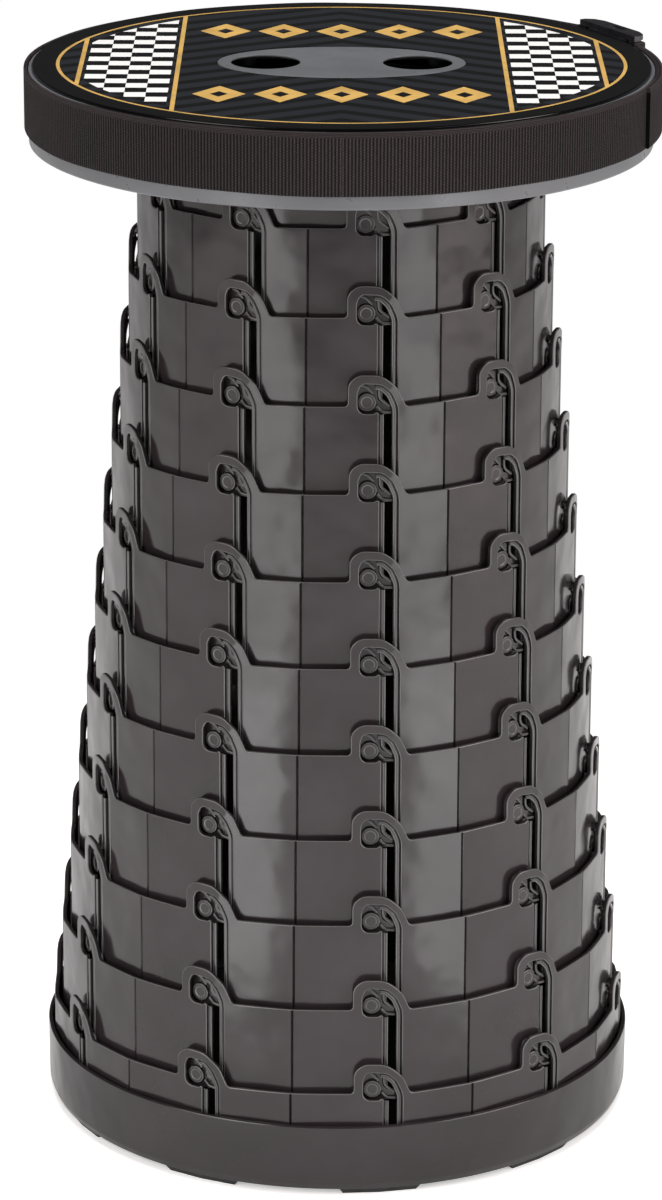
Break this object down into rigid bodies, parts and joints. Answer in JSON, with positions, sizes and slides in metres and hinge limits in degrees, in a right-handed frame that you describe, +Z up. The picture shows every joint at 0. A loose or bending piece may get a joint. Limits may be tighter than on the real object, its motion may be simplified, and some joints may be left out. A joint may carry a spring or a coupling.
{
  "type": "telescopic stool",
  "caption": "Round folding stool whose nested rings slide up out of a base tray and catch on hooks, with a printed seat disc, two finger holes and a carry strap with a buckle",
  "frame": {"origin": "on the floor at the middle of the foot pads", "axes": "+Z up along the stool's axis, -Y towards the pictured front, X along the grip plate's long side"},
  "size_m": [0.256, 0.256, 0.4447],
  "materials": {
    "ring_plastic": "satin dark grey moulded plastic",
    "base_plastic": "satin dark grey moulded plastic",
    "pad_rubber": "matt dark grey",
    "pan_plastic": "grey moulded plastic, slightly glossy",
    "cover_print": "glossy black printed sheet with a plain geometric pattern",
    "screw_steel": "plain zinc-plated steel",
    "webbing": "ribbed brownish-black woven webbing",
    "buckle_plastic": "dark grey moulded plastic"
  },
  "bodies": {
    "base": {"base_tray": "base_plastic", "foot_pads": "pad_rubber", "ring_11": "ring_plastic"},
    "stage_10": {"ring_10": "ring_plastic"},
    "stage_09": {"ring_09": "ring_plastic"},
    "stage_08": {"ring_08": "ring_plastic"},
    "stage_07": {"ring_07": "ring_plastic"},
    "stage_06": {"ring_06": "ring_plastic"},
    "stage_05": {"ring_05": "ring_plastic"},
    "stage_04": {"ring_04": "ring_plastic"},
    "stage_03": {"ring_03": "ring_plastic"},
    "stage_02": {"ring_02": "ring_plastic"},
    "stage_01": {"ring_01": "ring_plastic"},
    "seat": {"seat_pan": "pan_plastic", "seat_cover": "cover_print", "hub_ring": "ring_plastic", "seat_screws": "screw_steel", "strap": "webbing", "buckle_socket": "buckle_plastic", "buckle_plug": "buckle_plastic"}
  },
  "joints": [
    {"name": "ring_10_slide", "type": "slide", "parent": "base", "child": "stage_10", "axis": [0, 0, 1], "range_m": [-0.0347, 0]},
    {"name": "ring_09_slide", "type": "slide", "parent": "stage_10", "child": "stage_09", "axis": [0, 0, 1], "range_m": [-0.035, 0]},
    {"name": "ring_08_slide", "type": "slide", "parent": "stage_09", "child": "stage_08", "axis": [0, 0, 1], "range_m": [-0.035, 0]},
    {"name": "ring_07_slide", "type": "slide", "parent": "stage_08", "child": "stage_07", "axis": [0, 0, 1], "range_m": [-0.035, 0]},
    {"name": "ring_06_slide", "type": "slide", "parent": "stage_07", "child": "stage_06", "axis": [0, 0, 1], "range_m": [-0.035, 0]},
    {"name": "ring_05_slide", "type": "slide", "parent": "stage_06", "child": "stage_05", "axis": [0, 0, 1], "range_m": [-0.035, 0]},
    {"name": "ring_04_slide", "type": "slide", "parent": "stage_05", "child": "stage_04", "axis": [0, 0, 1], "range_m": [-0.035, 0]},
    {"name": "ring_03_slide", "type": "slide", "parent": "stage_04", "child": "stage_03", "axis": [0, 0, 1], "range_m": [-0.035, 0]},
    {"name": "ring_02_slide", "type": "slide", "parent": "stage_03", "child": "stage_02", "axis": [0, 0, 1], "range_m": [-0.035, 0]},
    {"name": "ring_01_slide", "type": "slide", "parent": "stage_02", "child": "stage_01", "axis": [0, 0, 1], "range_m": [-0.035, 0]},
    {"name": "seat_slide", "type": "slide", "parent": "stage_01", "child": "seat", "axis": [0, 0, 1], "range_m": [-0.028, 0]}
  ]
}
